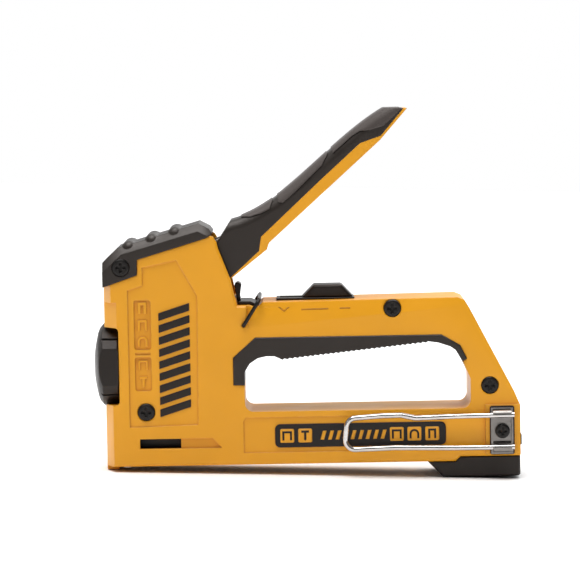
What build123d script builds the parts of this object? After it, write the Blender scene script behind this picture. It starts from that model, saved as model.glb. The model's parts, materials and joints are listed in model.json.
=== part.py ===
"""Hand staple gun (tacker): an assembly of separate pieces, in millimetres.

The origin is the centre of the nose pad's bottom face. +X points to the rear,
-Y to the side that carries the belt hook, and +Z up along the driver blade.
"""
import math
import os

from build123d import *

# Housing
HALF_WIDTH = 17.0
WALL = 2.4
INNER_HALF = HALF_WIDTH - WALL
BASE_Z = 2.2
FRONT_X = -2.8
REAR_X = 190.4
REAR_BASE_Z = 4.4
HANDLE_TOP_Z = 78.0
TOWER_FRONT_WALL_X = 5.6
CAP_SEAT_HALF = 15.4
CAP_HALF = 17.6
CAP_TOP_FRONT = (4.4, 104.4)
CAP_TOP_REAR = (42.1, 115.2)
BUMP_R = 3.9
BUMP_RISE = 1.7
BUMP_PITCH = 11.2
BUMP_HALF = 12.2
SLOT_HALF = 9.4
SLOT_TOP_Z = 16.4

# Lever and striker
PIVOT_X, PIVOT_Z = 42.0, 97.0
PIN_R = 3.0
RUNNING = 0.05
ARM_LENGTH = 26.0
LEVER_TRAVEL = 36.0
LEVER_HALF = 13.0
LEVER_SHOULDER = 4.8
PAD_RISE = 0.4
CORE_HALF = 12.0
CHANNEL_HALF = 9.8
ARM_INNER = 8.2
ROLLER_R = 3.0
ROLLER_PLAY = 0.8
STRIKER_HALF = 7.0
BLADE_X0, BLADE_X1 = 6.1, 7.1
BLADE_HALF = 6.0

# Front dial
DIAL_Z = 48.8
DIAL_R = 19.4
DIAL_FLAT_EDGE = 26.4
DIAL_BACK_X = 3.7
DIAL_FRONT_X = -7.8
RECESS_R = 20.4
RECESS_X = 4.0
NOTCH_HALF = 18.0

# Fasteners
BAND_Y = 16.5
POCKETS = [(15.3, 68.4, 7.8, 23.0, 15.5), (15.3, 45.5, 7.6, 15.8, 15.5),
           (15.2, 54.9, 7.2, 1.1, 15.9)]

SCREW_HEAD_R = 4.0
SCREW_R = 2.0
SCREWS = [(16.3, 27.6), (131.6, 74.3), (176.5, 37.6)]
CAP_SCREW = (5.8, 95.4)

# Handle top
TRACK_X0, TRACK_X1 = 77.8, 114.2
TRACK_HALF = 8.0
SLIDER_X0, SLIDER_X1 = 89.7, 113.6
SLIDER_HALF = 7.0

# Bail, belt hook, magazine
BAIL_X, BAIL_Z = 62.3, 67.4
BAIL_R = 0.9
BAIL_HALF = 18.6
HOOK_R = 1.25
HOOK_Y = -20.5
CORE_Z0, CORE_Z1 = 3.7, 14.0
CORE_HALF_MAG = 8.1
RAIL_HALF = 9.3
STRIP_X0, STRIP_X1 = 9.0, 60.0
ROD_R = 1.5
ROD_Z = 8.6
FOOT_Z = -5.3


def side(*points):
    """Face of a side outline, given as (x, z) points."""
    return Polygon(*points, align=None)


def slab(face, y0, y1):
    """Prism of a side outline between two widths."""
    return extrude(Plane.XZ.offset(-y0) * face, amount=y1 - y0, dir=(0, 1, 0))


def both(face, half):
    """Prism of a side outline, centred on the middle plane."""
    return slab(face, -half, half)


def block(x0, x1, y0, y1, z0, z1):
    """Box between six limits."""
    return Pos((x0 + x1) / 2, (y0 + y1) / 2, (z0 + z1) / 2) * Box(x1 - x0, y1 - y0, z1 - z0)


def bar_y(x, z, radius, y0, y1):
    """Round bar that lies across the tool."""
    turned = Pos(x, (y0 + y1) / 2, z) * Rot(90, 0, 0)
    return turned * Cylinder(radius, y1 - y0)


def bar_x(y, z, radius, x0, x1):
    """Round bar that lies along the tool."""
    turned = Pos((x0 + x1) / 2, y, z) * Rot(0, 90, 0)
    return turned * Cylinder(radius, x1 - x0)


def bent_wire(points, corner, radius):
    """Round wire along straight runs with rounded corners."""
    path = FilletPolyline(*points, radius=corner)
    start = Plane(origin=path @ 0, z_dir=path % 0)
    return sweep(start * Circle(radius), path=path)


# ---------------------------------------------------------------- outlines

def housing_outline():
    """Side outline of the housing, with the part that the cap covers."""
    base = [(FRONT_X, BASE_Z), (160.0, BASE_Z), (162.4, REAR_BASE_Z), (REAR_X, REAR_BASE_Z)]
    rear = [(190.6, 28.0), (187.6, 35.0), (167.6, 73.6), (165.2, 77.6), (162.0, 78.9)]
    notch = [(71.4, HANDLE_TOP_Z), (68.6, 75.5), (65.3, 76.6), (59.6, 76.6)]
    tower = [(57.7, 84.1), (56.7, 88.8), (51.1, 103.3), (50.3, 106.6), (48.9, 108.9)]
    under_cap = [(45.4, 110.6), (41.5, 113.2), (4.6, 102.5), (-0.3, 97.6), (-0.3, 87.0)]
    return side(*base, *rear, *notch, *tower, *under_cap, (FRONT_X, 86.1))


def opening_outline():
    """The finger opening, with the room that the grip insert fills."""
    floor = [(62.4, 27.0), (167.5, 27.0), (167.5, 41.0), (164.0, 49.0)]
    insert = [(165.9, 50.3), (162.9, 56.6), (154.2, 61.7), (67.6, 61.7), (57.1, 52.4)]
    face = side(*floor, *insert, (57.1, 39.6), (62.4, 39.6))
    low = [v for v in face.vertices() if v.Y < 27.1]
    return fillet(low, 4.0)


def cap_region():
    """Everything that belongs to the bumper cap, seen from the side."""
    lower = [(-8.0, 86.2), (-2.9, 86.2), (13.2, 91.7), (13.4, 98.9), (45.6, 108.4), (48.0, 109.7)]
    return side(*lower, (52.0, 111.0), (52.0, 122.0), (-8.0, 122.0))


def cap_outline():
    """Side outline of the bumper cap without its bumps."""
    lower = [(-2.9, 86.2), (13.2, 91.7), (13.4, 98.9), (45.6, 108.4), (48.0, 109.7)]
    rear = [(48.4, 110.6), (47.0, 112.6), CAP_TOP_REAR]
    return side(*lower, *rear, CAP_TOP_FRONT, (-2.9, 97.6))


def lever_outline():
    """Side outline of the whole lever handle at rest."""
    top = Spline((60.9, 117.1), (77.0, 125.6), (89.8, 135.6), (104.0, 148.0), (129.2, 166.9))
    end = [(129.2, 166.9), (139.9, 166.9), (127.2, 152.4), (80.0, 110.0), (74.8, 105.4)]
    front = [(73.8, 102.4), (56.4, 88.7), (50.3, 105.5), (57.1, 116.0), (60.9, 117.1)]
    return make_face([top, Polyline(*end, *front)])


def lever_lower_band():
    """Region of the lever that the rubber grip leaves uncovered."""
    seam = [(56.4, 89.4), (70.1, 101.8), (71.1, 108.3), (99.0, 134.1), (117.9, 151.1)]
    seam += [(127.6, 154.4), (138.6, 167.4)]
    return side(*seam, (150.0, 167.4), (150.0, 80.0), (52.0, 80.0), (52.0, 89.4))


# ------------------------------------------------------------------ housing

def wedge_front(z0, z1, side_x):
    """Material cut off both front corners of the tower."""
    ridge = 9.0
    reach = HALF_WIDTH + 2
    slope = (side_x - FRONT_X) / (HALF_WIDTH - ridge)
    far_x = FRONT_X + slope * (reach - ridge)
    cut = Polygon((FRONT_X, ridge), (far_x, reach), (FRONT_X - 5, reach), (FRONT_X - 5, ridge),
                  align=None)
    near = extrude(Pos(0, 0, z0) * cut, amount=z1 - z0, dir=(0, 0, 1))
    return near + mirror(near, Plane.XZ)


def handle_bevels():
    """Material cut off the upper flanks of the handle."""
    start, end = Vector(64.5, 0, 66.2), Vector(200.0, 0, 78.1)
    run = end - start
    flank = Plane(origin=start, x_dir=(0, 1, 0), z_dir=run.normalized())
    lean = 3.8
    height = 15.0
    points = [(-HALF_WIDTH, 0), (-HALF_WIDTH - 4, 0), (-HALF_WIDTH - 4, height),
              (-HALF_WIDTH + lean, height)]
    section = flank * Polygon(*points, align=None)
    cut = extrude(section, amount=run.length, dir=run.normalized())
    return cut + mirror(cut, Plane.XZ)


def housing_hull():
    """Outside shape of both housing halves together, still solid."""
    body = both(housing_outline(), HALF_WIDTH)
    rim = [e for e in body.edges() if abs(abs(e.center().Y) - HALF_WIDTH) < 0.01]
    rim = [e for e in rim if e.center().X > FRONT_X + 4 or e.center().Z < 3]
    rim = [e for e in rim if e.center().X > 50 and e.length > 3]
    body = chamfer(rim, 0.9)
    body -= wedge_front(-5, DIAL_Z, 1.0) + wedge_front(DIAL_Z, 79, 3.4) + wedge_front(79, 130, 0.8)
    body -= handle_bevels()
    body -= both(cap_region(), 30) - both(cap_region(), CAP_SEAT_HALF)
    body -= bar_x(0, DIAL_Z, RECESS_R, FRONT_X - 10, RECESS_X)
    notch = Pos(RECESS_X - 6, DIAL_Z + 0.3) * RectangleRounded(12, 2 * NOTCH_HALF, 1.6)
    body -= both(notch + notch.moved(Pos(-6, 0)), 30)
    body += block(174.2, REAR_X, -HALF_WIDTH - 1.0, -HALF_WIDTH + 1, 5.2, 28.6)
    return body


def screw_boss(x, z, hull):
    """Full-width boss round a housing screw, kept inside the hull."""
    return bar_y(x, z, 5.2, -HALF_WIDTH, HALF_WIDTH) & hull


def housing(hull):
    """Both halves of the hollow housing, as (near half, far half)."""
    opening = opening_outline()
    room = offset(housing_outline(), -WALL, kind=Kind.INTERSECTION)
    room -= offset(opening, WALL, kind=Kind.INTERSECTION)
    room -= side((-20, -20), (TOWER_FRONT_WALL_X, -20), (TOWER_FRONT_WALL_X, 130), (-20, 130))
    above = room & cap_region()
    cavity = both(room - cap_region(), INNER_HALF) + both(above, CAP_SEAT_HALF - WALL)
    cavity -= both(side((100, 64), (200, 64), (200, 90), (100, 90)), 30) - \
        both(side((100, 64), (200, 64), (200, 90), (100, 90)), INNER_HALF - 1.4)
    shell = hull - cavity - both(opening, 30)
    for x, z in SCREWS:
        shell += screw_boss(x, z, hull)
    tail = side((46, 79.8), (62, 79.8), (62, 112), (46, 112))
    shell -= both(tail, INNER_HALF)
    shell -= block(8.0, 195, -SLOT_HALF, SLOT_HALF, -2, SLOT_TOP_Z)
    shell -= block(5.2, 8.1, -SLOT_HALF, SLOT_HALF, -2, 22)
    shell -= block(TRACK_X0, TRACK_X1, -TRACK_HALF, TRACK_HALF, 70, 90)
    shell -= bar_y(PIVOT_X, PIVOT_Z, PIN_R, -16.2, 16.2)
    shell -= bar_x(0, DIAL_Z, 3.0, 0, 10)
    for x, z in SCREWS:
        shell -= bar_y(x, z, SCREW_R + 0.1, -30, 12)
        shell -= bar_y(x, z, SCREW_R, 11, 30)
        shell -= bar_y(x, z, SCREW_HEAD_R + 0.15, -30, -15)
        shell -= bar_y(x, z, SCREW_HEAD_R + 0.15, 15, 30)
    for y0, y1 in ((-30, -10), (10, 30)):
        shell -= bar_y(*CAP_SCREW, 1.6, y0, y1)
        shell -= bar_y(BAIL_X, BAIL_Z, BAIL_R + RUNNING, y0, y1)
    shell -= bar_y(181.9, 16.4, 1.7, -30, -10)
    for sign in (-1, 1):
        outer, inner = sorted((sign * 30, sign * (HALF_WIDTH - 0.6)))
        shell -= slab(tower_panel(), outer, inner)
        outer, inner = sorted((sign * 30, sign * (HALF_WIDTH - 1.2)))
        shell -= slab(side((13.1, 10.4), (51.2, 10.4), (47.1, 15.0), (13.1, 15.0)), outer, inner)
        shell -= slab(side((13.1, 10.4), (32.2, 10.4), (32.2, 15.0), (13.1, 15.0)),
                      *sorted((sign * 30, sign * SLOT_HALF)))
        shell -= flank_cuts(sign)
    shell -= block(-1.5, 3.0, -9, 9, -2, 5.2)
    near = shell & block(-50, 250, -50, 0, -50, 200)
    far = shell & block(-50, 250, 0, 50, -50, 200)
    return near, far


def flank_cuts(sign):
    """Icon pockets in the tower panel and the long shallow band round the base label."""
    cuts = slab(side((61.5, 7.8), (174.2, 7.8), (174.2, 24.3), (62.6, 24.3), (61.5, 22.6)),
                *sorted((sign * 30, sign * BAND_Y)))
    for x, z, width, height, y in POCKETS:
        outline = Pos(x, z) * RectangleRounded(width, height, min(1.2, height / 2.2))
        cuts += slab(outline, *sorted((sign * 30, sign * y)))
    return cuts


def tower_panel():
    """Shallow panel on the tower's flank."""
    top = [(8.6, 84.6), (15.6, 86.8), (15.6, 95.2), (31.6, 98.4), (41.0, 81.5)]
    return side(*top, (40.4, 21.4), (8.6, 20.6))


# ------------------------------------------------------- fixed outer pieces

def bumper_cap(hull):
    """Rubber cap over the tower top, with three bumps across it."""
    cap = both(cap_outline(), CAP_HALF)
    rim = [e for e in cap.edges() if abs(abs(e.center().Y) - CAP_HALF) < 0.01]
    above = [e for e in rim if e.center().Z > 96 + 0.29 * e.center().X + 4]
    cap = chamfer(above, 3.4)
    front, rear = Vector(*CAP_TOP_FRONT), Vector(*CAP_TOP_REAR)
    run = (rear - front).normalized()
    for step in (0.45, 1.45, 2.45):
        spot = front + run * step * BUMP_PITCH + Vector(run.Y, -run.X) * (BUMP_R - BUMP_RISE)
        cap += bar_y(spot.X, spot.Y, BUMP_R, -BUMP_HALF, BUMP_HALF)
        for y in (-BUMP_HALF, BUMP_HALF):
            cap += Pos(spot.X, y, spot.Y) * Sphere(BUMP_R)
    cap -= hull
    cap -= both(cap_region_below(), 30)
    for y0, y1 in ((-30, -10), (10, 30)):
        cap -= bar_y(*CAP_SCREW, 1.6, y0, y1)
    for y0, y1 in ((-30, -16.6), (16.6, 30)):
        cap -= bar_y(*CAP_SCREW, SCREW_HEAD_R + 0.1, y0, y1)
    return cap


def cap_region_below():
    """Everything under the bumper cap's lower edge."""
    lower = [(-8.0, 86.2), (-2.9, 86.2), (13.2, 91.7), (13.4, 98.9), (45.6, 108.4), (48.0, 109.7)]
    return side(*lower, (52.0, 111.0), (52.0, 60.0), (-8.0, 60.0))


def cross_recess(x, z, y, size, depth):
    """Cross-shaped driver recess in a screw head that faces -Y."""
    arm = size / 3.4
    upright = block(x - arm / 2, x + arm / 2, y, y + depth, z - size / 2, z + size / 2)
    return upright + block(x - size / 2, x + size / 2, y, y + depth, z - arm / 2, z + arm / 2)


def pan_head(x, z, y_top, y_seat, radius):
    """Screw head that faces -Y, with a rounded rim and a driver recess."""
    head = bar_y(x, z, radius, y_top, y_seat)
    rim = [e for e in head.edges() if abs(e.center().Y - y_top) < 0.01]
    head = fillet(rim, min(0.9, (y_seat - y_top) * 0.45))
    return head - cross_recess(x, z, y_top - 0.1, radius * 1.15, 1.3)


def housing_screws():
    """Three screws that clamp the housing halves."""
    screws = []
    for x, z in SCREWS:
        head = pan_head(x, z, -17.3, -15.0, SCREW_HEAD_R)
        screws.append(head + bar_y(x, z, SCREW_R, -15.2, 16.5))
    return Compound(children=screws)


def housing_nuts():
    """Round nuts on the far ends of the housing screws."""
    nuts = []
    for x, z in SCREWS:
        nut = bar_y(x, z, SCREW_HEAD_R, 15.0, 17.2)
        nuts.append(nut - bar_y(x, z, SCREW_R, 10, 30))
    return Compound(children=nuts)


def cap_screws():
    """One short screw on each side of the bumper cap."""
    x, z = CAP_SCREW
    head = pan_head(x, z, -CAP_HALF - 0.5, -16.6, SCREW_HEAD_R)
    screw = head + bar_y(x, z, 1.6, -16.8, -11.2)
    return Compound(children=[screw, mirror(screw, Plane.XZ)])


def grip_opening():
    """Clear outline of the finger opening below the serrated insert."""
    left = [(62.4, 20.0), (62.4, 45.6), (64.9, 49.6), (68.7, 52.1), (72.5, 52.9), (76.6, 52.8)]
    x0, z0, x1, z1 = 79.9, 51.1, 149.1, 58.2
    teeth = 29
    saw = []
    for i in range(teeth):
        for share, drop in ((0.12, 0.0), (0.5, 0.55)):
            t = (i + share) / teeth
            saw.append((x0 + t * (x1 - x0), z0 + t * (z1 - z0) + drop))
    right = [(152.8, 57.9), (158.4, 56.0), (160.7, 54.3), (164.2, 48.4), (170.0, 38.0)]
    return side(*left, *saw, *right, (170.0, 20.0))


def grip_insert():
    """Rubber insert round the top and front of the finger opening."""
    outline = opening_outline() - grip_opening()
    keep = side((50, 39.6), (63, 39.6), (63, 45), (172, 45), (172, 70), (50, 70))
    insert = both(outline & keep, HALF_WIDTH + 0.5)
    rim = [e for e in insert.edges() if abs(abs(e.center().Y) - HALF_WIDTH - 0.5) < 0.01]
    rim = [e for e in rim if e.length > 9]
    return chamfer(rim, 0.4)


def bail_liner():
    """Liner on the step behind the tower, with the upright keeper hook."""
    strip = side((60.0, 76.6), (65.3, 76.6), (68.4, 75.6), (69.4, 76.6), (65.6, 78.2), (60.0, 78.2))
    stem = side((59.8, 76.8), (61.5, 76.8), (60.7, 80.2), (61.2, 84.0), (58.8, 86.0), (58.4, 83.0))
    return both(strip, 11.0) + both(stem, 5.0) + bar_y(59.8, 85.0, 1.6, -5, 5)


def slider_track():
    """Frame in the handle top that the power slider runs in."""
    outer = block(TRACK_X0, TRACK_X1, -TRACK_HALF, TRACK_HALF, 74.0, 79.2)
    groove = block(TRACK_X0 + 1.6, TRACK_X1 - 1.6, -3.2, 3.2, 72, 82)
    pocket = block(TRACK_X0 + 1.6, TRACK_X1 - 1.6, -6.4, 6.4, 72, 76.6)
    return outer - groove - pocket


def side_label(sign):
    """Rounded label plate on a flank of the base."""
    width, height, thick = 79.6, 10.9, 0.5
    plate = extrude(Plane.XZ * RectangleRounded(width, height, 2.4), amount=thick)
    y = -BAND_Y if sign < 0 else BAND_Y + thick
    return Pos(115.9, y, 15.5) * plate


def hook_bracket():
    """Sheet bracket that clamps the two ends of the belt hook."""
    y0 = -HALF_WIDTH - 1.0
    t = 1.1
    plate = block(176.6, 186.9, y0 - t, y0, 5.6, 27.2)
    for z in (24.0, 8.9):
        lug = bar_x(HOOK_Y, z, HOOK_R + 1.1, 177.4, 186.1) - bar_x(HOOK_Y, z, HOOK_R, 170, 190)
        lug -= block(170, 190, HOOK_Y - 6, HOOK_Y + 6, z - 6 * (z > 15), z + 6 * (z < 15))
        lug -= block(170, 190, y0 - t, 0, 0, 40)
        plate += lug
    plate += block(186.1, 186.9, y0 - t - 0.9, y0 - t, 11.4, 21.8)
    x, z = 181.9, 16.4
    return plate - bar_y(x, z, 1.7, -30, -10)


def belt_hook():
    """Wire belt hook: one loop held at both ends by the bracket."""
    y1, y2 = HOOK_Y - 2.0, HOOK_Y - 1.4
    upper = [(187.4, HOOK_Y, 24.0), (160.0, HOOK_Y, 23.7), (141.5, y1, 23.4), (134.5, y1, 24.9)]
    upper += [(126.0, y1, 24.8), (109.6, y2, 23.6)]
    lower = [(108.2, y2, 9.0), (132.0, y1, 9.8), (160.0, HOOK_Y, 8.95), (187.4, HOOK_Y, 8.9)]
    radii = [6, 6, 3, 6, 4.6, 4.6, 12, 12]
    return bent_wire(upper + lower, radii, HOOK_R)


def hook_screw():
    """Screw of the belt hook bracket."""
    x, z = 181.9, 16.4
    seat = -HALF_WIDTH - 2.1
    return pan_head(x, z, seat - 2.0, seat, 3.4) + bar_y(x, z, 1.7, seat - 0.3, -11.0)


# ---------------------------------------------------------- internal pieces

def nose_pad():
    """Hard wearing strip under the front wall; its bottom is the nose face."""
    pad = block(FRONT_X, 2.8, -8.5, 8.5, 0, BASE_Z)
    return pad + block(-1.5, 3.0 - 0.2, -8.5, 8.5, BASE_Z - 0.2, 5.2)


def nose_guide():
    """Steel guide that the driver blade and each staple pass through."""
    body = block(5.2, 8.0, -SLOT_HALF, SLOT_HALF, 0.8, 22)
    body -= block(BLADE_X0 - 0.15, BLADE_X1 + 0.15, -BLADE_HALF - 0.2, BLADE_HALF + 0.2, 0, 30)
    return body - block(BLADE_X1, 9, -7.2, 7.2, 4.2, 14.4)


def blade_guides():
    """Two steel rails that hold the driver blade up the tower."""
    rails = []
    for sign in (-1, 1):
        y0, y1 = sorted((sign * (BLADE_HALF + 0.2), sign * SLOT_HALF))
        rail = block(TOWER_FRONT_WALL_X, 8.0, y0, y1, 22, 57)
        y0, y1 = sorted((sign * (BLADE_HALF - 1.2), sign * SLOT_HALF))
        rails.append(rail + block(BLADE_X1 + 0.3, 8.0, y0, y1, 22, 57))
    return Compound(children=rails)


def lever_pin():
    """Steel pivot pin of the lever."""
    return bar_y(PIVOT_X, PIVOT_Z, PIN_R, -16.2, 16.2)


def striker_buffer():
    """Rubber block that stops the striker at the bottom."""
    return block(8.4, 18.0, -INNER_HALF, INNER_HALF, 57.5, 65.6)


def spring_anchor():
    """Steel bar that holds the lower end of the power spring."""
    return block(24.0, 36.0, -INNER_HALF, INNER_HALF, 18.0, 22.0)


def selector_spindle():
    """Fixed stub that the front dial turns on."""
    stub = bar_x(0, DIAL_Z, 3.0, 1.0, 5.4)
    return stub + bar_x(0, DIAL_Z, 4.0, -4.5, RECESS_X)


def magazine_rails():
    """Fixed steel channel in the base that guides the drawer."""
    x0, x1 = 8.2, 140.0
    outer = block(x0, x1, -RAIL_HALF, RAIL_HALF, 2.5, 15.4)
    return outer - block(x0 - 1, x1 + 1, -RAIL_HALF + 1, RAIL_HALF - 1, 3.4, 20)


# ------------------------------------------------------------- lever pieces

def lever_body():
    """Moulded lever: a channel, open below, with bare lower edges."""
    whole = lever_outline()
    core = whole & (Pos(1.7, -2.1) * whole)
    body = both(core, CORE_HALF) + both(whole & lever_lower_band(), LEVER_HALF)
    channel = Pos(3.4, -4.2) * whole
    mouth = side((46, 84), (62, 84), (62, 109), (46, 101))
    return body, body - both(channel, CHANNEL_HALF) - both(mouth, CHANNEL_HALF)


def lever_hull(grow):
    """Whole outside shape of the lever with rounded upper edges, raised and widened by grow."""
    whole = both(Pos(-0.58 * grow, 0.81 * grow) * lever_outline(), LEVER_HALF + grow)
    rim = [e for e in whole.edges() if abs(abs(e.center().Y) - LEVER_HALF - grow) < 0.01]
    top = [e for e in rim if e.length > 60 and e.center().Z > 138]
    return fillet(top, LEVER_SHOULDER + grow)


def lever_grip(core):
    """Rubber overmould on the lever's top and flanks."""
    mouth = side((46, 84), (62, 84), (62, 109), (46, 101))
    grip = lever_hull(0) - both(lever_lower_band(), 30)
    return grip - core - both(mouth, CHANNEL_HALF)


def lever_pads():
    """Three proud pads that wrap the lever's upper edges down to their seams."""
    proud = lever_hull(PAD_RISE) - lever_hull(0)
    front = [(62.0, 117.6), (66.2, 117.7), (71.8, 119.4), (75.4, 121.2), (76.6, 125.0)]
    middle = [(78.9, 127.0), (79.6, 124.2), (81.7, 124.1), (87.3, 128.9), (100.1, 141.2),
              (102.6, 146.3)]
    rear = [(104.6, 148.2), (105.2, 146.6), (114.2, 154.4), (117.9, 156.7), (122.6, 157.1),
            (128.6, 158.8), (132.9, 162.5), (137.0, 166.6)]
    pads = []
    for seam in (front, middle, rear):
        region = side(*seam, (seam[-1][0] - 3, seam[-1][1] + 12), (seam[0][0] - 3, seam[0][1] + 12))
        pads += (proud & both(region, 30)).solids()
    return Compound(children=pads)


def arm_tip():
    """Centre of the lifting roller at rest, as (x, z)."""
    angle = math.radians(LEVER_TRAVEL)
    return PIVOT_X - ARM_LENGTH * math.cos(angle), PIVOT_Z - ARM_LENGTH * math.sin(angle)


def lever_arm(lever, grip):
    """Two steel side plates from the lever to the lifting roller."""
    tip_x, tip_z = arm_tip()
    tail = side((44, 91.5), (66, 104), (70, 110), (62, 112), (40, 103))
    beam = side((tip_x - 2, tip_z + 3.4), (tip_x + 2.4, tip_z - 3.2), (46, 91.5), (40, 103))
    plates = []
    for y0, y1 in ((-CHANNEL_HALF, -ARM_INNER), (ARM_INNER, CHANNEL_HALF)):
        plate = slab(tail, y0, y1) + slab(beam, y0, y1)
        plate += bar_y(tip_x, tip_z, 4.0, y0, y1) + bar_y(PIVOT_X, PIVOT_Z, 7.0, y0, y1)
        plate -= bar_y(PIVOT_X, PIVOT_Z, PIN_R + RUNNING, -30, 30)
        plates.append(plate - bar_y(tip_x, tip_z, 1.5, -30, 30) - lever - grip)
    return Compound(children=plates)


def roller_pin():
    """Pin through the lifting roller and both arm plates."""
    return bar_y(*arm_tip(), 1.5, -CHANNEL_HALF, CHANNEL_HALF)


def lever_roller():
    """Roller that lifts the striker."""
    tip_x, tip_z = arm_tip()
    return bar_y(tip_x, tip_z, ROLLER_R, -7.6, 7.6) - bar_y(tip_x, tip_z, 1.5, -30, 30)


# ----------------------------------------------------------- striker pieces

def striker_block():
    """Steel block with the lifting slot and the spring bracket."""
    _, tip_z = arm_tip()
    low, high = tip_z - ROLLER_R - ROLLER_PLAY, tip_z + ROLLER_R + ROLLER_PLAY
    front = [(BLADE_X1, 66), (22, 66), (24, 64.5), (37, 64.5), (37, 69), (27, 69)]
    slot = [(27, low), (12.6, low), (12.6, high), (25, high), (25, high + 1.0)]
    return both(side(*front, *slot, (13.4, high + 1.0), (BLADE_X1, 83.8)), STRIKER_HALF)


def driver_blade():
    """Flat steel blade that drives the fastener."""
    return block(BLADE_X0, BLADE_X1, -BLADE_HALF, BLADE_HALF, 1.2, 83.0)


def power_spring():
    """Coil spring that pulls the striker down."""
    x, wire, radius = 30.0, 0.9, 5.6
    z0, z1 = 22.0 + wire + 0.1, 64.5 - wire - 0.1
    path = Pos(x, 0, z0) * Helix(pitch=(z1 - z0) / 11, height=z1 - z0, radius=radius)
    start = Plane(origin=path @ 0, z_dir=path % 0)
    return sweep(start * Circle(wire), path=path, is_frenet=True)


# -------------------------------------------- dial, slider, bail, magazine

def selector_dial():
    """Front dial with two thumb flats, faceted corners and grip grooves."""
    corners = [DIAL_FLAT_EDGE, 42.5, 68.0, 90.0, 112.0, 137.5, 180.0 - DIAL_FLAT_EDGE]
    corners += [180.0 + a for a in corners]
    rim = [(DIAL_R * math.cos(math.radians(a)), DIAL_R * math.sin(math.radians(a)))
           for a in corners]
    face = make_face(Polyline(*rim, close=True))
    for angle in (42.5, 137.5, 222.5, 317.5):
        turn = math.radians(angle)
        spot = Pos((DIAL_R - 0.1) * math.cos(turn), (DIAL_R - 0.1) * math.sin(turn))
        face -= spot * Rot(0, 0, angle) * Rectangle(2.0, 1.1)
    dial = extrude(Plane.YZ.offset(DIAL_FRONT_X) * face, amount=DIAL_BACK_X - DIAL_FRONT_X)
    profile = [(DIAL_FRONT_X, 0), (DIAL_FRONT_X, 7.5), (-7.3, 10.6), (-6.3, 15.2), (-5.4, 17.3),
               (-3.6, DIAL_R), (DIAL_BACK_X - 0.6, DIAL_R), (DIAL_BACK_X, DIAL_R - 0.6),
               (DIAL_BACK_X, 0)]
    dome = revolve(make_face(Polyline(*profile, close=True)), Axis.X)
    dial = Pos(0, 0, DIAL_Z) * (dial & dome)
    dial -= bar_x(0, DIAL_Z, 4.0 + RUNNING, -4.9, 10)
    return dial - bar_x(0, DIAL_Z, 7.5, DIAL_FRONT_X - 1, DIAL_FRONT_X + 1.0)


def dial_cap():
    """Disc in the middle of the dial's front."""
    return bar_x(0, DIAL_Z, 7.5, DIAL_FRONT_X + 0.2, DIAL_FRONT_X + 1.0)


def power_slider():
    """Thumb slider on the handle top."""
    face = side((SLIDER_X0, 79.4), (SLIDER_X1, 79.4), (108.3, 85.1), (95.4, 85.1))
    face = fillet([v for v in face.vertices() if v.Y > 84], 1.8)
    knob = both(face, SLIDER_HALF)
    rim = [e for e in knob.edges() if abs(abs(e.center().Y) - SLIDER_HALF) < 0.01]
    knob = chamfer([e for e in rim if e.center().Z > 81], 0.9)
    return knob + block(SLIDER_X0 + 3, SLIDER_X1 - 3, -3.0, 3.0, 76.0, 79.6)


def slider_cleat():
    """Plate under the track that keeps the slider down."""
    return block(SLIDER_X0 + 3, SLIDER_X1 - 3, -6.0, 6.0, 74.6, 76.0)


def lock_bail():
    """Wire bail that straddles the handle."""
    crest_x, crest_z = 69.9, 79.5
    tip = 15.6
    points = [(BAIL_X, -tip, BAIL_Z), (BAIL_X, -BAIL_HALF, BAIL_Z), (crest_x, -BAIL_HALF, crest_z)]
    points += [(x, -y, z) for x, y, z in reversed(points)]
    return bent_wire(points, [1.4, 3.0, 3.0, 1.4], BAIL_R)


def magazine_core():
    """Sliding steel channel that holds the staples."""
    x0, x1 = 8.4, 187.8
    outer = block(x0, x1, -CORE_HALF_MAG, CORE_HALF_MAG, CORE_Z0, CORE_Z1)
    core = outer - block(x0 - 1, x1 - 1.2, -CORE_HALF_MAG + 0.9, CORE_HALF_MAG - 0.9, 4.6, 20)
    return core - bar_x(0, ROD_Z, ROD_R, 180, 195)


def rear_foot():
    """Foot under the rear of the base, carried by the drawer."""
    top = [(147.2, 2.0), (160.2, 2.0), (162.6, 4.2), (190.4, 4.2)]
    bottom = [(190.4, FOOT_Z + 0.9), (189.5, FOOT_Z), (154.4, FOOT_Z)]
    foot = both(side(*top, *bottom), 16.0)
    corners = [e for e in foot.edges() if abs(abs(e.center().Y) - 16.0) < 0.01]
    foot = chamfer([e for e in corners if e.center().Z < 1.5], 0.8)
    foot += block(150, 187.8, -7, 7, 0, CORE_Z0)
    return foot - block(140, 187.8, -CORE_HALF_MAG, CORE_HALF_MAG, CORE_Z0, 10)


def magazine_latch():
    """Thumb latch that closes the rear end of the drawer."""
    plate = block(187.8, REAR_X, -8.6, 8.6, 4.2, 15.8)
    return plate + block(REAR_X, REAR_X + 1.6, -5.0, 5.0, 8.0, 13.0)


def pusher_rod():
    """Rod in the drawer that guides the staple pusher."""
    return bar_x(0, ROD_Z, ROD_R, 66.0, 187.8)


def staple_pusher():
    """Slide that pushes the staple strip forward."""
    body = block(STRIP_X1, STRIP_X1 + 15, -6.4, 6.4, 5.0, 13.0)
    return body - bar_x(0, ROD_Z, ROD_R + RUNNING, STRIP_X1 - 1, STRIP_X1 + 16)


def staple_strip():
    """Strip of glued staples, as one inverted channel."""
    outer = block(STRIP_X0, STRIP_X1, -6.4, 6.4, 4.9, 13.0)
    return outer - block(STRIP_X0 - 1, STRIP_X1 + 1, -5.7, 5.7, 4, 12.3)


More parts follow.
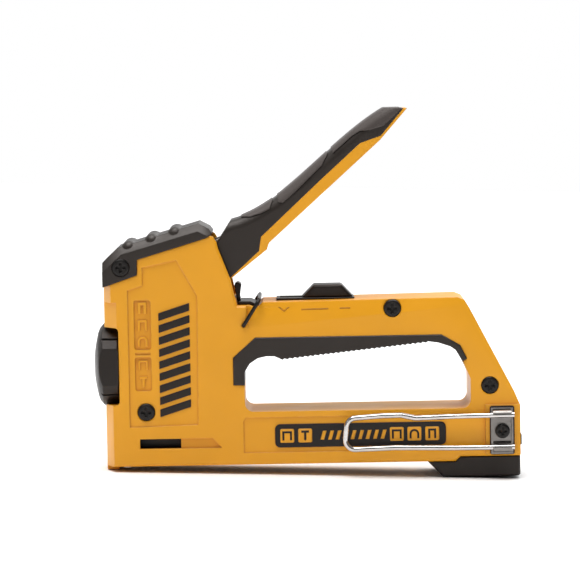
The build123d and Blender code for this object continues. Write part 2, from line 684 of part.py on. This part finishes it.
def main():
    hull = housing_hull()
    near, far = housing(hull)
    lever_core, lever = lever_body()
    grip = lever_grip(lever_core)
    nodes = {
        "housing_near": near,
        "housing_far": far,
        "bumper_cap": bumper_cap(hull),
        "housing_screws": housing_screws(),
        "housing_nuts": housing_nuts(),
        "cap_screws": cap_screws(),
        "grip_insert": grip_insert(),
        "bail_liner": bail_liner(),
        "slider_track": slider_track(),
        "label_near": side_label(-1),
        "label_far": side_label(1),
        "hook_bracket": hook_bracket(),
        "belt_hook": belt_hook(),
        "hook_screw": hook_screw(),
        "nose_pad": nose_pad(),
        "nose_guide": nose_guide(),
        "blade_guides": blade_guides(),
        "lever_pin": lever_pin(),
        "striker_buffer": striker_buffer(),
        "spring_anchor": spring_anchor(),
        "selector_spindle": selector_spindle(),
        "magazine_rails": magazine_rails(),
        "lever": lever,
        "lever_grip": grip,
        "lever_pads": lever_pads(),
        "lever_arm": lever_arm(lever, grip),
        "roller_pin": roller_pin(),
        "lever_roller": lever_roller(),
        "striker_block": striker_block(),
        "driver_blade": driver_blade(),
        "power_spring": power_spring(),
        "selector_dial": selector_dial(),
        "dial_cap": dial_cap(),
        "power_slider": power_slider(),
        "slider_cleat": slider_cleat(),
        "lock_bail": lock_bail(),
        "magazine_core": magazine_core(),
        "rear_foot": rear_foot(),
        "magazine_latch": magazine_latch(),
        "pusher_rod": pusher_rod(),
        "staple_pusher": staple_pusher(),
        "staple_strip": staple_strip(),
    }
    os.makedirs("parts", exist_ok=True)
    for name, shape in nodes.items():
        export_step(shape, f"parts/{name}.step")


if __name__ == "__main__":
    main()
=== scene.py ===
"""Look of the hand staple gun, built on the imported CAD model."""
import json
import math

import bmesh
import bpy
from mathutils import Matrix, Vector
from mathutils.bvhtree import BVHTree


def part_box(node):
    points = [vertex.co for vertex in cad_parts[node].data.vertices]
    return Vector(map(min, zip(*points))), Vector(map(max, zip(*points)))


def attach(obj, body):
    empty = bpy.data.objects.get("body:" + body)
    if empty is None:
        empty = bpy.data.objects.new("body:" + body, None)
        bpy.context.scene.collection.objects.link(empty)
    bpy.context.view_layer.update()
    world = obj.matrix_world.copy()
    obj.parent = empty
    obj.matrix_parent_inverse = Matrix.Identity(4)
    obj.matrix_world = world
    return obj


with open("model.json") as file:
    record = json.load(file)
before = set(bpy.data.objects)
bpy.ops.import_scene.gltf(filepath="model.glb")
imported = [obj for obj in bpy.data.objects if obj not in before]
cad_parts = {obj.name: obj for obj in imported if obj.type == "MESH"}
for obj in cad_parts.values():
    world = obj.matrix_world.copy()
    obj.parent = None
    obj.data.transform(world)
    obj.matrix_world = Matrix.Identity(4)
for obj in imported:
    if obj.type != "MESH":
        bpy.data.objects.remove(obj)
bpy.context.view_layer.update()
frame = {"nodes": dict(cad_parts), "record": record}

MM = 0.001
NODES = frame["nodes"]
SIDES = ((-1, "near"), (1, "far"))


# ---------------------------------------------------------------- materials

# colours and factors on them; the radii of edges and the reach of the painted shade in seams are
# in metres
YELLOW = (0.81, 0.352, 0.008)
# factor that darkens the base colour in seams and recesses: painted shade
CREVICE_SHADE_TINT = (0.76, 0.62, 0.55)
CLOUD_SHADE = 0.94
STAIN_SHADE = 0.78
WARM_GLOSS = (1.0, 0.93, 0.89, 1.0)
MOULDED_EDGE = 0.0009
WORN_EDGE = 0.0008
CREVICE_SHADE_REACH = 0.0030


def shader(name, color, roughness, metallic=0.0, specular=0.5):
    """New material with a principled shader; returns (material, nodes, links, shader)."""
    material = bpy.data.materials.new(name)
    material.use_nodes = True
    tree = material.node_tree
    principled = tree.nodes["Principled BSDF"]
    principled.inputs["Base Color"].default_value = (*color, 1.0)
    principled.inputs["Roughness"].default_value = roughness
    principled.inputs["Metallic"].default_value = metallic
    principled.inputs["Specular IOR Level"].default_value = specular
    return material, tree.nodes, tree.links, principled


def noise(nodes, links, scale, detail=3.0, stretch=(1.0, 1.0, 1.0)):
    """Noise texture in object space; scale is in features per metre."""
    coordinates = nodes.new("ShaderNodeTexCoord")
    mapping = nodes.new("ShaderNodeMapping")
    mapping.inputs["Scale"].default_value = stretch
    texture = nodes.new("ShaderNodeTexNoise")
    texture.inputs["Scale"].default_value = scale
    texture.inputs["Detail"].default_value = detail
    links.new(coordinates.outputs["Object"], mapping.inputs["Vector"])
    links.new(mapping.outputs["Vector"], texture.inputs["Vector"])
    return texture.outputs["Fac"]


def remap(nodes, links, value, low, high, start=0.3, end=0.7):
    """Value moved from start..end to low..high, and held there outside it."""
    node = nodes.new("ShaderNodeMapRange")
    node.inputs["From Min"].default_value = start
    node.inputs["From Max"].default_value = end
    node.inputs["To Min"].default_value = low
    node.inputs["To Max"].default_value = high
    links.new(value, node.inputs["Value"])
    return node.outputs["Result"]


def blend_color(nodes, links, factor, first, second):
    """Mix of two colours; each is a colour or an output socket."""
    node = nodes.new("ShaderNodeMix")
    node.data_type = "RGBA"
    links.new(factor, node.inputs["Factor"])
    for socket, value in ((node.inputs["A"], first), (node.inputs["B"], second)):
        if isinstance(value, tuple):
            socket.default_value = (*value, 1.0)
        else:
            links.new(value, socket)
    return node.outputs["Result"]


def rounded_normal(nodes, radius, samples):
    """Surface normal as if sharp edges had the given radius in metres."""
    node = nodes.new("ShaderNodeBevel")
    node.samples = samples
    node.inputs["Radius"].default_value = radius
    return node.outputs["Normal"]


def bump(nodes, links, height, principled, depth, edge=0.0):
    """Bump of the given depth in metres, over edges rounded by the given radius."""
    node = nodes.new("ShaderNodeBump")
    node.inputs["Distance"].default_value = depth
    node.inputs["Strength"].default_value = 1.0
    links.new(height, node.inputs["Height"])
    if edge > 0:
        links.new(rounded_normal(nodes, edge, 8), node.inputs["Normal"])
    links.new(node.outputs["Normal"], principled.inputs["Normal"])


def edge_wear(nodes, links):
    """1 on exposed edges that hands and benches rub, broken up by noise."""
    geometry = nodes.new("ShaderNodeNewGeometry")
    dot = nodes.new("ShaderNodeVectorMath")
    dot.operation = "DOT_PRODUCT"
    links.new(geometry.outputs["Normal"], dot.inputs[0])
    links.new(rounded_normal(nodes, WORN_EDGE, 4), dot.inputs[1])
    edges = remap(nodes, links, dot.outputs["Value"], 1.0, 0.0, 0.86, 0.97)
    patches = remap(nodes, links, noise(nodes, links, 260.0, 4.0), 0.0, 0.6, 0.45, 0.68)
    product = nodes.new("ShaderNodeMath")
    product.operation = "MULTIPLY"
    links.new(edges, product.inputs[0])
    links.new(patches, product.inputs[1])
    return product.outputs["Value"]


def crevice_shade(nodes, links):
    """1 deep in seams and recesses, where light hardly gets: the mask of a painted shade."""
    shelter = nodes.new("ShaderNodeAmbientOcclusion")
    shelter.samples = 8
    shelter.inputs["Distance"].default_value = CREVICE_SHADE_REACH
    return remap(nodes, links, shelter.outputs["AO"], 1.0, 0.0, 0.25, 0.96)


def moulded(name, color, worn, roughness, grain, depth, specular=0.5, coat=0.0):
    """Moulded plastic or rubber: fine grain, clouding, rubbed edges and painted shade in seams
    and recesses.
    """
    material, nodes, links, principled = shader(name, color, roughness, specular=specular)
    cloud = remap(nodes, links, noise(nodes, links, 35.0, 4.0), 0.0, 1.0)
    shade = tuple(CLOUD_SHADE * c for c in color)
    body = blend_color(nodes, links, cloud, color, shade)
    rubbed = blend_color(nodes, links, edge_wear(nodes, links), body, worn)
    # painted shade: the base colour darkened where ambient occlusion finds seams and recesses
    crevice_shade_colour = tuple(tint * c for tint, c in zip(CREVICE_SHADE_TINT, color))
    tone = blend_color(nodes, links, crevice_shade(nodes, links), rubbed, crevice_shade_colour)
    links.new(tone, principled.inputs["Base Color"])
    fine = noise(nodes, links, grain, 2.0)
    smudge = noise(nodes, links, 60.0, 5.0)
    links.new(remap(nodes, links, smudge, roughness - 0.05, roughness + 0.07),
              principled.inputs["Roughness"])
    bump(nodes, links, fine, principled, depth, edge=MOULDED_EDGE)
    principled.inputs["Specular Tint"].default_value = WARM_GLOSS
    principled.inputs["Coat Weight"].default_value = coat
    principled.inputs["Coat Roughness"].default_value = 0.25
    return material


def steel(name, color, roughness, stretch, depth):
    """Plain metal with drawn or ground lines."""
    material, nodes, links, principled = shader(name, color, roughness, metallic=1.0)
    lines = noise(nodes, links, 900.0, 3.0, stretch)
    links.new(remap(nodes, links, lines, roughness - 0.08, roughness + 0.14),
              principled.inputs["Roughness"])
    stain = remap(nodes, links, noise(nodes, links, 90.0, 5.0), 0.0, 1.0, 0.4, 0.75)
    dull = tuple(STAIN_SHADE * c for c in color)
    links.new(blend_color(nodes, links, stain, color, dull), principled.inputs["Base Color"])
    bump(nodes, links, lines, principled, depth)
    return material


MATERIALS = {
    "yellow_plastic": moulded("yellow_plastic", YELLOW, worn=(0.88, 0.47, 0.07), roughness=0.42,
                              grain=2600.0, depth=0.00002, specular=0.42, coat=0.06),
    "black_rubber": moulded("black_rubber", (0.0126, 0.0084, 0.0060), worn=(0.05, 0.043, 0.038),
                            roughness=0.44, grain=3800.0, depth=0.00004, specular=0.50),
    "grey_rubber": moulded("grey_rubber", (0.058, 0.047, 0.043), worn=(0.10, 0.09, 0.085),
                           roughness=0.50, grain=3000.0, depth=0.00007, specular=0.5),
    "black_plastic": moulded("black_plastic", (0.010, 0.0068, 0.0052), worn=(0.04, 0.035, 0.032),
                             roughness=0.40, grain=3000.0, depth=0.00003, specular=0.36),
    "label_black": moulded("label_black", (0.0085, 0.0075, 0.0075), worn=(0.03, 0.028, 0.027),
                           roughness=0.36, grain=5000.0, depth=0.000006, specular=0.3),
    "black_steel": moulded("black_steel", (0.0065, 0.006, 0.0058), worn=(0.06, 0.055, 0.05),
                           roughness=0.34, grain=3500.0, depth=0.00002, specular=0.3),
    "plain_steel": steel("plain_steel", (0.42, 0.41, 0.40), roughness=0.34,
                         stretch=(0.06, 1.0, 1.0), depth=0.000008),
    "spring_steel": steel("spring_steel", (0.30, 0.30, 0.31), roughness=0.30,
                          stretch=(1.0, 1.0, 0.2), depth=0.000006),
    "zinc_steel": steel("zinc_steel", (0.27, 0.25, 0.235), roughness=0.38,
                        stretch=(0.3, 1.0, 1.0), depth=0.000010),
    "chrome_wire": steel("chrome_wire", (0.61, 0.59, 0.575), roughness=0.16,
                         stretch=(0.05, 1.0, 1.0), depth=0.000004),
}
# darker yellow for the shallow moulded marks: painted shade inside their hollows
ENGRAVING_SHADE_YELLOW = moulded("engraving_shade_yellow", (0.52, 0.205, 0.012), worn=(0.6, 0.25, 0.03),
                        roughness=0.5, grain=2600.0, depth=0.00002, specular=0.3)


# -------------------------------------------------------- finish of the CAD

# width of the rounded edges of each kind of material, in millimetres
BEVEL = {"yellow_plastic": 0.45, "black_rubber": 0.5, "grey_rubber": 0.35, "black_plastic": 0.4,
         "label_black": 0.08, "black_steel": 0.12, "plain_steel": 0.15, "spring_steel": 0.0,
         "zinc_steel": 0.15, "chrome_wire": 0.0}
SHARP_CORNER = math.radians(32.0)
SAME_PLANE = math.radians(0.6)
SAME_POINT = 0.002 * MM


def soften(obj, width):
    """Rounded edges of the given width in millimetres."""
    weld = obj.modifiers.new("weld", "WELD")
    weld.merge_threshold = SAME_POINT
    flat = obj.modifiers.new("flat faces", "DECIMATE")
    flat.decimate_type = "DISSOLVE"
    flat.angle_limit = SAME_PLANE
    rounded = obj.modifiers.new("rounded edges", "BEVEL")
    rounded.width = width * MM
    rounded.segments = 3
    rounded.limit_method = "ANGLE"
    rounded.angle_limit = SHARP_CORNER
    rounded.use_clamp_overlap = True
    normals = obj.modifiers.new("normals", "WEIGHTED_NORMAL")
    normals.keep_sharp = False


def finish_cad():
    """Material, smooth shading and rounded edges of every CAD node."""
    for part in frame["record"]["subparts"]:
        obj = NODES[part["node"]]
        material_slot = part["material_slot"]
        obj.data.materials.clear()
        obj.data.materials.append(MATERIALS[material_slot])
        if BEVEL[material_slot] > 0:
            for layer in ("custom_normal", "sharp_edge"):
                if layer in obj.data.attributes:
                    obj.data.attributes.remove(obj.data.attributes[layer])
            obj.data.shade_smooth()
            soften(obj, BEVEL[material_slot])


finish_cad()


# ------------------------------------------------------------ added details

def prism_mesh(name, near, far):
    """Closed mesh between two loops of points."""
    mesh = bpy.data.meshes.new(name)
    build = bmesh.new()
    near = [build.verts.new(point) for point in near]
    far = [build.verts.new(point) for point in far]
    build.faces.new(near)
    build.faces.new(list(reversed(far)))
    for i in range(len(near)):
        j = (i + 1) % len(near)
        build.faces.new((near[j], near[i], far[i], far[j]))
    bmesh.ops.recalc_face_normals(build, faces=build.faces)
    build.to_mesh(mesh)
    build.free()
    return mesh


def polygon_prism(name, outline, y0, y1, slot, body="body", bevel=0.0):
    """Prism with an (x, z) outline in millimetres between two depths."""
    near = [(x * MM, y0 * MM, z * MM) for x, z in outline]
    far = [(x * MM, y1 * MM, z * MM) for x, z in outline]
    return place(name, prism_mesh(name, near, far), slot, body, bevel)


def ring_prism(name, outer, inner, y0, y1, slot, bevel):
    """Prism between two outlines with the same number of points."""
    mesh = bpy.data.meshes.new(name)
    build = bmesh.new()
    loops = []
    for outline in (outer, inner):
        for y in (y0, y1):
            loops.append([build.verts.new((x * MM, y * MM, z * MM)) for x, z in outline])
    outer_near, outer_far, inner_near, inner_far = loops
    count = len(outer)
    for i in range(count):
        j = (i + 1) % count
        build.faces.new((outer_near[i], outer_near[j], inner_near[j], inner_near[i]))
        build.faces.new((outer_far[j], outer_far[i], inner_far[i], inner_far[j]))
        build.faces.new((outer_near[j], outer_near[i], outer_far[i], outer_far[j]))
        build.faces.new((inner_near[i], inner_near[j], inner_far[j], inner_far[i]))
    bmesh.ops.recalc_face_normals(build, faces=build.faces)
    build.to_mesh(mesh)
    build.free()
    return place(name, mesh, slot, "body", bevel)


def place(name, mesh, slot, body, bevel):
    """Object from a mesh, on a body, with its slot's material."""
    obj = bpy.data.objects.new(name, mesh)
    bpy.context.scene.collection.objects.link(obj)
    mesh.materials.append(MATERIALS[slot])
    if bevel > 0:
        rounded = obj.modifiers.new("rounded edges", "BEVEL")
        rounded.width = bevel * MM
        rounded.segments = 2
        rounded.limit_method = "ANGLE"
        rounded.angle_limit = math.radians(40)
    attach(obj, body)
    return obj


def rounded_box(cx, cz, width, height, radius, steps=4):
    """Outline of a rectangle with round corners."""
    points = []
    for quarter, (sx, sz) in enumerate(((1, 1), (-1, 1), (-1, -1), (1, -1))):
        for i in range(steps + 1):
            angle = math.radians(90 * quarter + 90 * i / steps)
            x = cx + sx * (width / 2 - radius) + radius * math.cos(angle)
            z = cz + sz * (height / 2 - radius) + radius * math.sin(angle)
            points.append((x, z))
    return points


def staple_outline(width, height, thick, round_top=False):
    """Outline of a staple with its legs down, centred on (0, 0)."""
    w, h = width / 2, height / 2
    if not round_top:
        return [(-w, -h), (-w, h), (w, h), (w, -h), (w - thick, -h), (w - thick, h - thick),
                (-w + thick, h - thick), (-w + thick, -h)]
    outer, inner = [], []
    for i in range(9):
        angle = math.pi * (1 - i / 8)
        outer.append((w * math.cos(angle), h - w + w * math.sin(angle)))
        inner.append(((w - thick) * math.cos(angle), h - w + (w - thick) * math.sin(angle)))
    return [(-w, -h), *outer, (w, -h), (w - thick, -h), *reversed(inner), (-w + thick, -h)]


def nail_outline(width, height, thick):
    """Outline of a nail with its head up, centred on (0, 0)."""
    w, h, t = width / 2, height / 2, thick / 2
    return [(-w, h), (w, h), (w, h - thick), (t, h - thick), (t, -h + t), (0, -h), (-t, -h + t),
            (-t, h - thick), (-w, h - thick)]


def moved(outline, x, z):
    """Outline moved from (0, 0)."""
    return [(a + x, b + z) for a, b in outline]


def depths(sign, surface, proud, sunk=0.1):
    """Lower and upper y of a thin piece that stands on a flank and is let into it."""
    return sorted((sign * (surface - sunk), sign * (surface + proud)))


# places on the CAD model that its boxes don't give, in millimetres; depths are from the middle
PANEL = 16.4
POCKET = 15.5
BRACKET_BACK = 18.0
BRACKET_FRONT = 19.1
FOOT_EDGE_X = 154.4

# sizes and places of the added marks, in millimetres
ICON_X = 15.3
TILE = 6.5
FIRST_BAR_X = 97.2
BAR_PITCH = 3.5
BAR_HALF = 2.1
RIB_SHARE = 0.64


def flank_icons(sign, side):
    """Raised fastener icons in the two pockets of the tower's flank."""
    y = depths(sign, POCKET, 0.75)
    marks = (
        ("narrow_staple", staple_outline(4.1, 5.5, 1.45), 76.3),
        ("wide_staple", staple_outline(4.4, 5.2, 1.2), 68.2),
        ("round_staple", staple_outline(4.8, 4.9, 1.15, round_top=True), 60.7),
        ("cable_staple", staple_outline(4.5, 4.6, 0.9), 49.6),
        ("nail", nail_outline(3.6, 5.4, 1.3), 41.7),
    )
    for name, outline, z in marks:
        polygon_prism(f"icon_{name}_{side}", moved(outline, ICON_X, z), *y, "yellow_plastic",
                      bevel=0.18)


def flank_ribs(sign, side):
    """Column of slanted black grip ribs on the tower's flank."""
    x0, x1, z0, z1 = 22.8, 37.2, 25.2, 80.4
    count, rise = 9, 4.6
    pitch = (z1 - z0 - rise) / count
    for i in range(count):
        z = z0 + i * pitch
        top = z + pitch * RIB_SHARE
        outline = [(x0, z), (x1, z + rise), (x1, top + rise), (x0, top)]
        polygon_prism(f"grip_rib_{i}_{side}", outline, *depths(sign, PANEL, 0.45),
                      "black_plastic", bevel=0.22)


def label_marks(sign, side):
    """Icon tiles and a plain row of slanted bars on the side label."""
    low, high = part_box("label_near")
    z = (low.z + high.z) / 2 / MM
    surface = -low.y / MM
    shapes = (
        (81.7, staple_outline(4.5, 4.3, 0.95)),
        (90.1, nail_outline(3.6, 4.8, 1.1)),
        (132.8, staple_outline(4.6, 4.3, 0.95)),
        (141.0, staple_outline(4.5, 4.4, 0.95, round_top=True)),
        (149.3, staple_outline(3.7, 4.5, 0.95)),
    )
    for i, (x, mark) in enumerate(shapes):
        tile = rounded_box(x, z, TILE, TILE, 0.7)
        polygon_prism(f"label_tile_{i}_{side}", tile, *depths(sign, surface, 0.05),
                      "yellow_plastic")
        polygon_prism(f"label_mark_{i}_{side}", moved(mark, x, z),
                      *depths(sign, surface, 0.09), "label_black")
    for i in range(9):
        x = FIRST_BAR_X + BAR_PITCH * i
        low_edge, high_edge = z - BAR_HALF, z + BAR_HALF
        bar = [(x, low_edge), (x + 1.7, low_edge), (x + 2.9, high_edge), (x + 1.2, high_edge)]
        polygon_prism(f"label_bar_{i}_{side}", bar, *depths(sign, surface, 0.05),
                      "yellow_plastic")


def drape(name, outline, sign, node):
    """Thin mark in darker yellow, painted shade of a shallow moulded mark, that follows the
    surface of a CAD node; outline in (x, z) millimetres.
    """
    source = NODES[node].data
    tree = BVHTree.FromPolygons([v.co for v in source.vertices],
                                [tuple(f.vertices) for f in source.polygons])
    outer, inner = [], []
    for x, z in outline:
        start = Vector((x, sign * 40.0, z)) * MM
        hit = tree.ray_cast(start, Vector((0, -sign, 0)))[0]
        outer.append(hit + Vector((0, sign * 0.04 * MM, 0)))
        inner.append(hit - Vector((0, sign * 0.20 * MM, 0)))
    obj = place(name, prism_mesh(name, outer, inner), "yellow_plastic", "body", 0)
    obj.data.materials[0] = ENGRAVING_SHADE_YELLOW


def handle_marks(sign, side):
    """Shallow moulded marks under the power slider: an arrow and two dashes, drawn as thin
    pieces of darker yellow in painted shade.
    """
    node = f"housing_{side}"
    arrow = [(78.4, 75.6), (79.5, 75.6), (81.2, 74.3), (82.9, 75.6), (84.0, 75.6), (81.2, 73.3)]
    first = [(89.2, 74.7), (101.9, 74.9), (101.9, 74.2), (89.2, 74.0)]
    second = [(107.2, 75.0), (112.0, 75.1), (112.0, 74.4), (107.2, 74.3)]
    for name, outline in (("arrow", arrow), ("low_dash", first), ("high_dash", second)):
        drape(f"power_{name}_{side}", outline, sign, node)


def dial_pointer():
    """Raised pointer and three index bars on the front of the dial."""
    low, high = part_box("dial_cap")
    front = low.x / MM
    centre = (low.z + high.z) / 2 / MM
    pointer = [(-1.5, -3.6), (1.5, -3.6), (1.5, 1.4), (3.0, 1.4), (0.0, 5.2), (-3.0, 1.4),
               (-1.5, 1.4)]
    marks = [("pointer", pointer, 0.35)]
    for i, degrees in enumerate((90.0, 180.0, 270.0)):
        spin = Matrix.Rotation(math.radians(degrees), 2)
        bar = [spin @ Vector(p) for p in ((-0.5, 4.0), (0.5, 4.0), (0.5, 5.6), (-0.5, 5.6))]
        marks.append((f"index_{i}", [tuple(p) for p in bar], 0.15))
    face_forward = Matrix(((0, -1, 0), (1, 0, 0), (0, 0, 1))).to_4x4()
    for name, outline, rise in marks:
        obj = polygon_prism(f"dial_{name}", outline, -0.15, rise, "yellow_plastic", "dial", 0.1)
        obj.data.transform(Matrix.Translation((front * MM, 0, centre * MM)) @ face_forward)


def hook_shade_marks():
    """Black ring round the hook bracket's plate, painted shade along the edge of its pocket, and
    black patches of painted shade in the two slots of its folded lugs.
    """
    low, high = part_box("hook_bracket")
    x = (low.x + high.x) / 2 / MM
    z = (low.z + high.z) / 2 / MM
    width, height = (high.x - low.x) / MM, (high.z - low.z) / MM
    outer = rounded_box(x + 0.1, z + 0.2, width + 1.1, height + 1.2, 1.0)
    inner = rounded_box(x, z, width - 1.0, height - 1.0, 0.5)
    # black ring: painted shade along the pocket edge round the bracket
    ring_prism("hook_shade_ring", outer, inner, *depths(-1, BRACKET_BACK, 0.7), "black_plastic", 0.1)
    # black patches: painted shade in the slots of the folded lugs
    for name, centre, tall in (("low", 11.0, 1.3), ("high", 26.3, 0.9)):
        slot = rounded_box(x, centre, 8.4, tall, 0.4)
        polygon_prism(f"hook_slot_shade_{name}", slot, *depths(-1, BRACKET_FRONT, 0.03, sunk=0.3),
                      "black_plastic")


for sign, side in SIDES:
    flank_icons(sign, side)
    flank_ribs(sign, side)
    label_marks(sign, side)
    handle_marks(sign, side)
dial_pointer()
hook_shade_marks()


# -------------------------------------------------- floor, light and camera

# metres and degrees
TOOL_CENTRE = Vector((84.2, 0.0, 82.3)) * MM
CAMERA_DISTANCE = 1.4
CAMERA_ELEVATION = 4.5
CAMERA_ROLL = 1.0
FRAME_WIDTH = 0.2726
FLOOR_HALF = 3.0
FLOOR_GAP = 0.0002
SIDE_DIM = 0.06
BACK_BRIGHT = 0.8
TOP_EXTRA = 0.2


def floor():
    """Pale floor that the nose and the rear foot stand on."""
    material, nodes, links, principled = shader("floor", (0.93, 0.93, 0.93), 0.8, specular=0.1)
    speckle = remap(nodes, links, noise(nodes, links, 14.0, 3.0), 0.0, 1.0)
    tone = blend_color(nodes, links, speckle, (0.93, 0.93, 0.93), (0.92, 0.92, 0.92))
    links.new(tone, principled.inputs["Base Color"])
    foot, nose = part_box("rear_foot")[0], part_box("nose_pad")[0]
    slope = math.atan2(foot.z - nose.z, FOOT_EDGE_X * MM - nose.x)
    mesh = bpy.data.meshes.new("floor")
    build = bmesh.new()
    bmesh.ops.create_grid(build, x_segments=24, y_segments=24, size=FLOOR_HALF)
    build.to_mesh(mesh)
    build.free()
    mesh.shade_smooth()
    mesh.materials.append(material)
    obj = bpy.data.objects.new("floor", mesh)
    obj.matrix_world = (Matrix.Translation((nose.x, 0, nose.z - FLOOR_GAP))
                        @ Matrix.Rotation(-slope, 4, "Y"))
    bpy.context.scene.collection.objects.link(obj)


def area_light(name, at, size, power):
    """Square soft box that faces the tool."""
    data = bpy.data.lights.new(name, "AREA")
    data.shape = "SQUARE"
    data.size = size
    data.energy = power
    obj = bpy.data.objects.new(name, data)
    obj.location = at
    aim = TOOL_CENTRE - Vector(at)
    obj.rotation_euler = aim.to_track_quat("-Z", "Y").to_euler()
    bpy.context.scene.collection.objects.link(obj)


def surround():
    """World that the camera sees as white: it lights the tool from behind and above."""
    world = bpy.data.worlds.new("surround")
    world.use_nodes = True
    nodes, links = world.node_tree.nodes, world.node_tree.links
    background = nodes["Background"]
    coordinates = nodes.new("ShaderNodeTexCoord")
    split = nodes.new("ShaderNodeSeparateXYZ")
    links.new(coordinates.outputs["Generated"], split.inputs["Vector"])
    depth = remap(nodes, links, split.outputs["Y"], SIDE_DIM, BACK_BRIGHT, -0.35, 0.6)
    height = remap(nodes, links, split.outputs["Z"], 0.0, TOP_EXTRA, 0.25, 0.9)
    total = nodes.new("ShaderNodeMath")
    total.operation = "ADD"
    links.new(depth, total.inputs[0])
    links.new(height, total.inputs[1])
    path = nodes.new("ShaderNodeLightPath")
    seen = nodes.new("ShaderNodeMix")
    links.new(path.outputs["Is Camera Ray"], seen.inputs["Factor"])
    links.new(total.outputs["Value"], seen.inputs["A"])
    seen.inputs["B"].default_value = 1.0
    links.new(seen.outputs["Result"], background.inputs["Strength"])
    background.inputs["Color"].default_value = (1.0, 1.0, 1.0, 1.0)
    bpy.context.scene.world = world


def sun(name, direction, strength, spread):
    """Very soft, even light that comes from the given direction."""
    data = bpy.data.lights.new(name, "SUN")
    data.energy = strength
    data.angle = math.radians(spread)
    obj = bpy.data.objects.new(name, data)
    obj.rotation_euler = (-Vector(direction)).to_track_quat("-Z", "Y").to_euler()
    bpy.context.scene.collection.objects.link(obj)


def studio():
    """Large overhead light with two soft boxes, in a white surround."""
    surround()
    sun("overhead", direction=(-0.10, -0.16, 1.0), strength=3.2, spread=44.0)
    area_light("front_box", at=(-0.9, -1.0, 0.7), size=0.5, power=0.8)
    area_light("rear_box", at=(0.6, 0.9, 0.9), size=0.8, power=6.0)


def camera():
    """Camera at the side, a little above the tool, with a slight roll."""
    elevation, roll = math.radians(CAMERA_ELEVATION), math.radians(CAMERA_ROLL)
    forward = Vector((0, math.cos(elevation), -math.sin(elevation)))
    level = Vector((1, 0, 0))
    upward = level.cross(forward)
    right = math.cos(roll) * level - math.sin(roll) * upward
    up = math.sin(roll) * level + math.cos(roll) * upward
    data = bpy.data.cameras.new("camera")
    data.sensor_width = 36.0
    data.lens = data.sensor_width * CAMERA_DISTANCE / FRAME_WIDTH
    data.clip_end = 50.0
    obj = bpy.data.objects.new("camera", data)
    turn = Matrix((right, up, -forward)).transposed().to_4x4()
    obj.matrix_world = Matrix.Translation(TOOL_CENTRE - forward * CAMERA_DISTANCE) @ turn
    bpy.context.scene.collection.objects.link(obj)
    bpy.context.scene.camera = obj


floor()
studio()
camera()
bpy.context.scene.view_settings.view_transform = "Standard"
